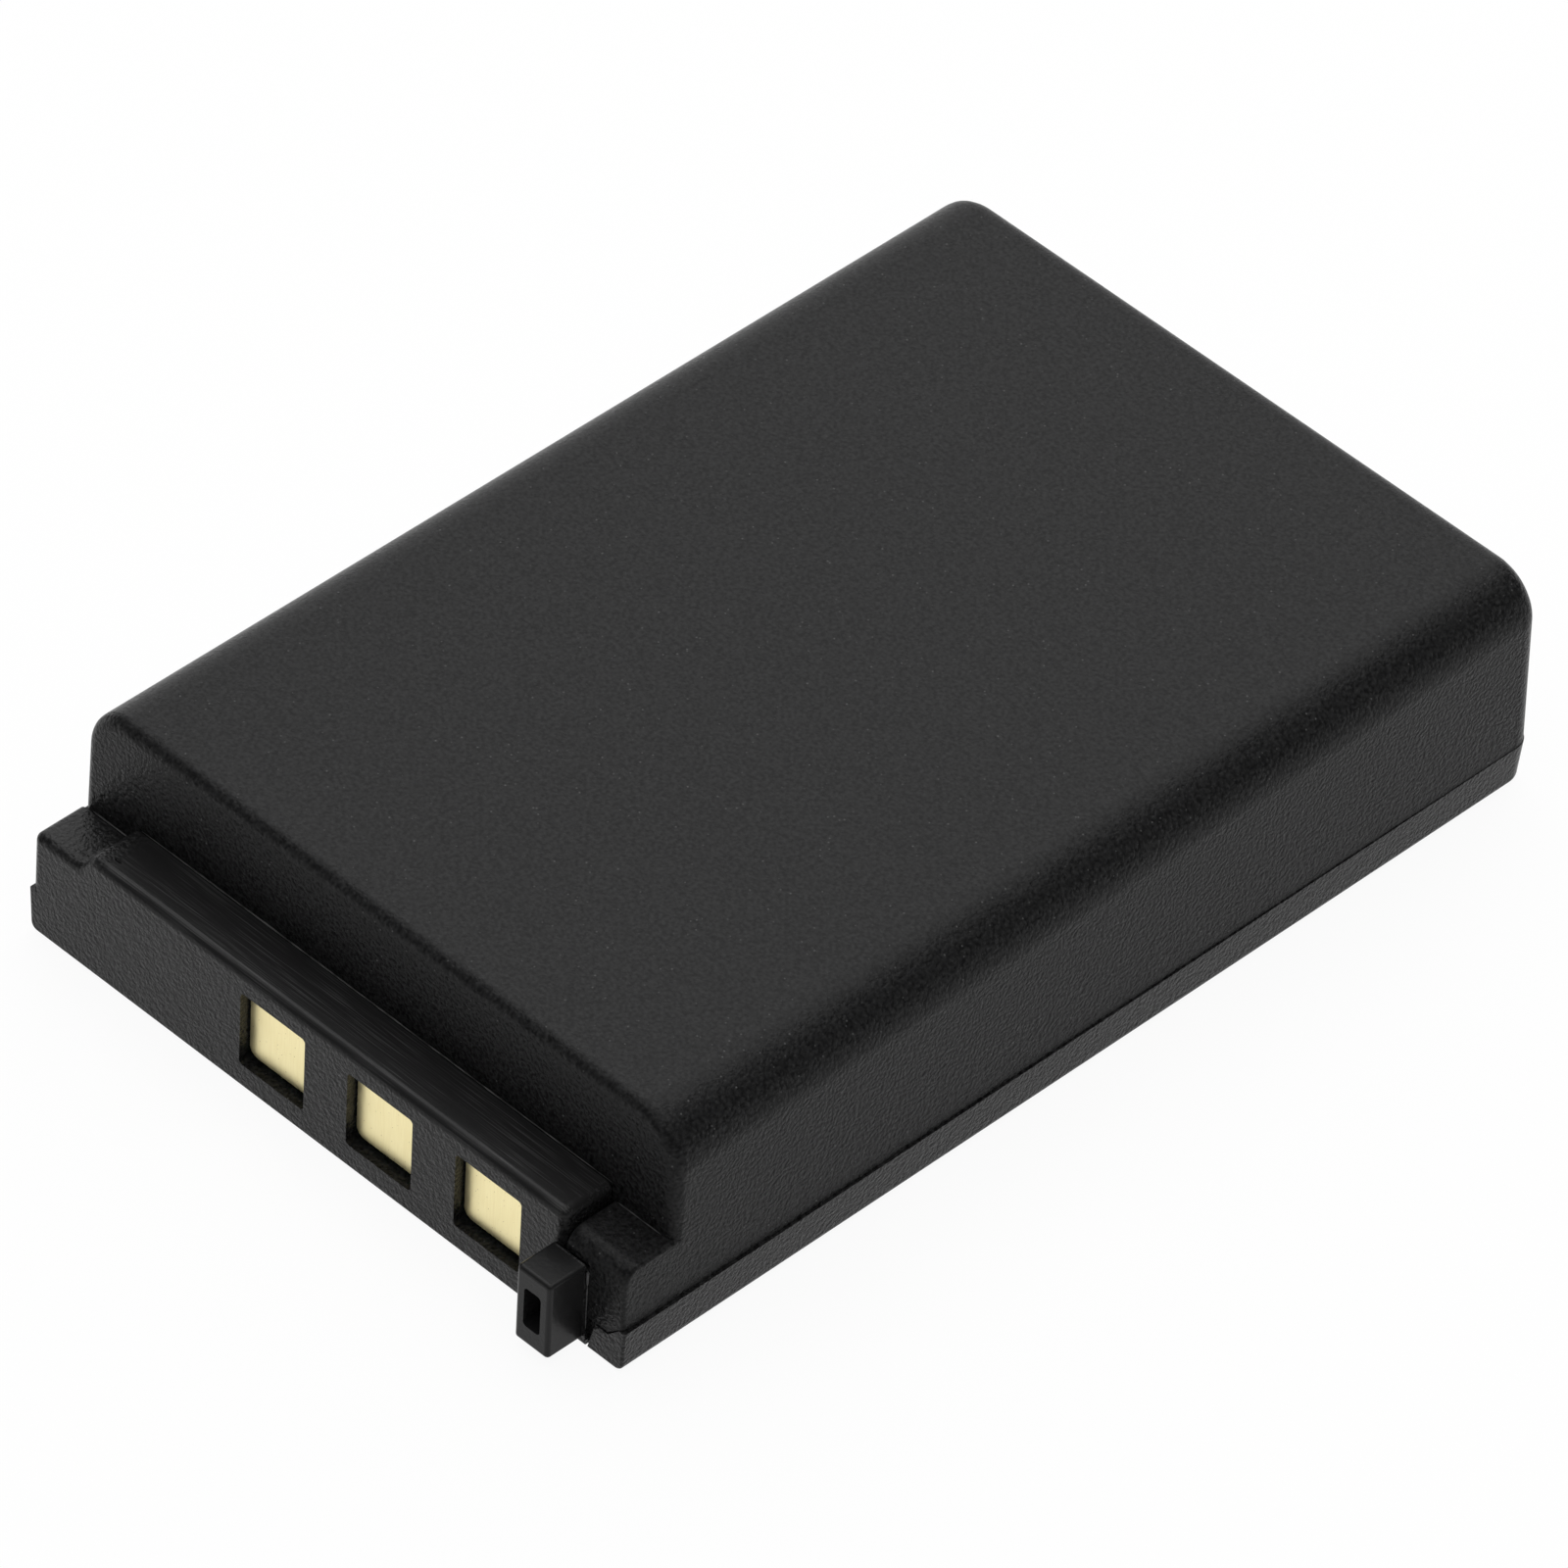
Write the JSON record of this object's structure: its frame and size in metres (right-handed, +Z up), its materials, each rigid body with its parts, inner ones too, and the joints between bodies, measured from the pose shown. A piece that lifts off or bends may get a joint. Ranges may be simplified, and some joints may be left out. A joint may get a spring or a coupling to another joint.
{
  "type": "barcode scanner battery",
  "caption": "Black hard-case lithium-ion battery pack with a stepped contact end, gold contacts recessed in square windows and a small slotted key lug.",
  "frame": {"origin": "under the middle of the whole pack, key lug included, on the surface that it lies on", "axes": "+X to the key lug's side, +Y from the contact end to the rear, +Z up through the plain top"},
  "size_m": [0.035, 0.055, 0.0111],
  "materials": {
    "case_plastic": "black moulded plastic with a fine spark-eroded grain",
    "contact_gold": "pale gold plating",
    "board_laminate": "green glass-fibre laminate",
    "nickel": "bright nickel",
    "chip_resin": "moulded chip resin",
    "chip_ceramic": "fired ceramic",
    "cell_aluminium": "drawn aluminium",
    "insulation": "insulating card and gasket",
    "tape": "double-sided tissue tape"
  },
  "bodies": {
    "root": {"upper_case": "case_plastic", "lower_cover": "case_plastic", "contact_plus": "contact_gold", "contact_temp": "contact_gold", "contact_minus": "contact_gold", "protection_board": "board_laminate", "weld_pad_plus": "nickel", "weld_pad_minus": "nickel", "protection_ic": "chip_resin", "mosfet_pair": "chip_resin", "thermistor": "chip_ceramic", "sense_resistor": "chip_ceramic", "bypass_capacitor": "chip_ceramic", "cell_can": "cell_aluminium", "cell_gasket": "insulation", "cell_terminal": "nickel", "end_insulator": "insulation", "thermal_fuse": "chip_resin", "tab_negative": "nickel", "tab_positive": "nickel", "fuse_lead": "nickel", "tape_lower": "tape", "tape_upper": "tape"}
  },
  "joints": []
}
